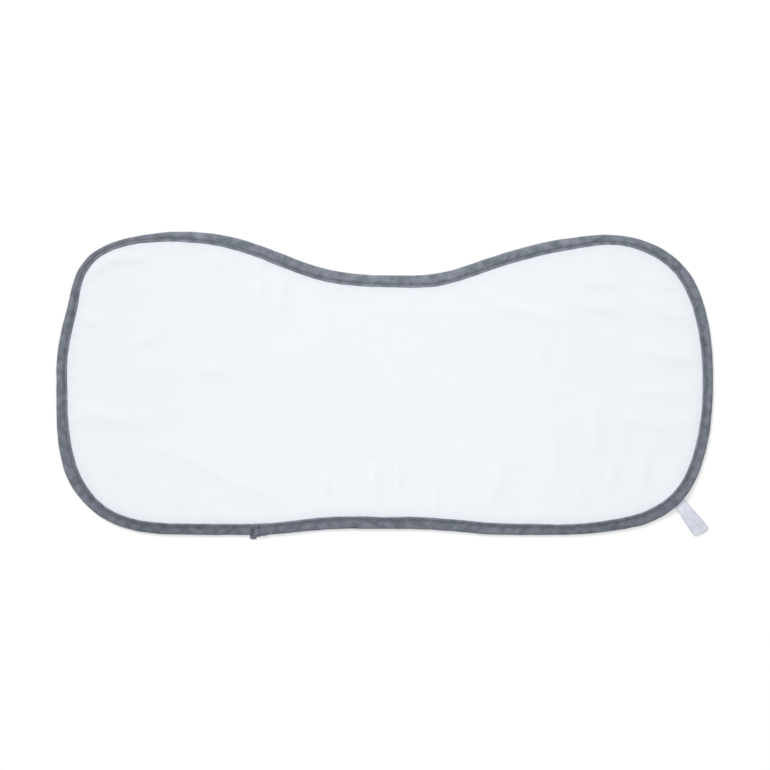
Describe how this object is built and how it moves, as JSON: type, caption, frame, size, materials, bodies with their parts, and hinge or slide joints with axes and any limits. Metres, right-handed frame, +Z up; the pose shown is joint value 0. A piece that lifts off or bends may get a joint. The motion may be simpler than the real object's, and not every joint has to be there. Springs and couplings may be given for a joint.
{
  "type": "burp cloth",
  "caption": "Contoured muslin burp cloth with a neck hollow, grey bound edge and a blank care label, lying flat.",
  "frame": {"origin": "middle of the cloth's bounding box, on the flat surface that it lies on", "axes": "+X along the cloth's length towards the end with the label, +Y towards the neck hollow, +Z up through the cloth's face"},
  "size_m": [0.5302, 0.2482, 0.0038],
  "materials": {
    "muslin": "soft white cotton muslin of several layers, matt, fine open weave, softly creased",
    "binding": "mid grey heather cotton strip, matt, slightly puckered along its stitching",
    "label": "bare white satin ribbon with a soft sheen"
  },
  "bodies": {
    "root": {"muslin_panel": "muslin", "edge_binding": "binding", "care_label": "label"}
  },
  "joints": []
}
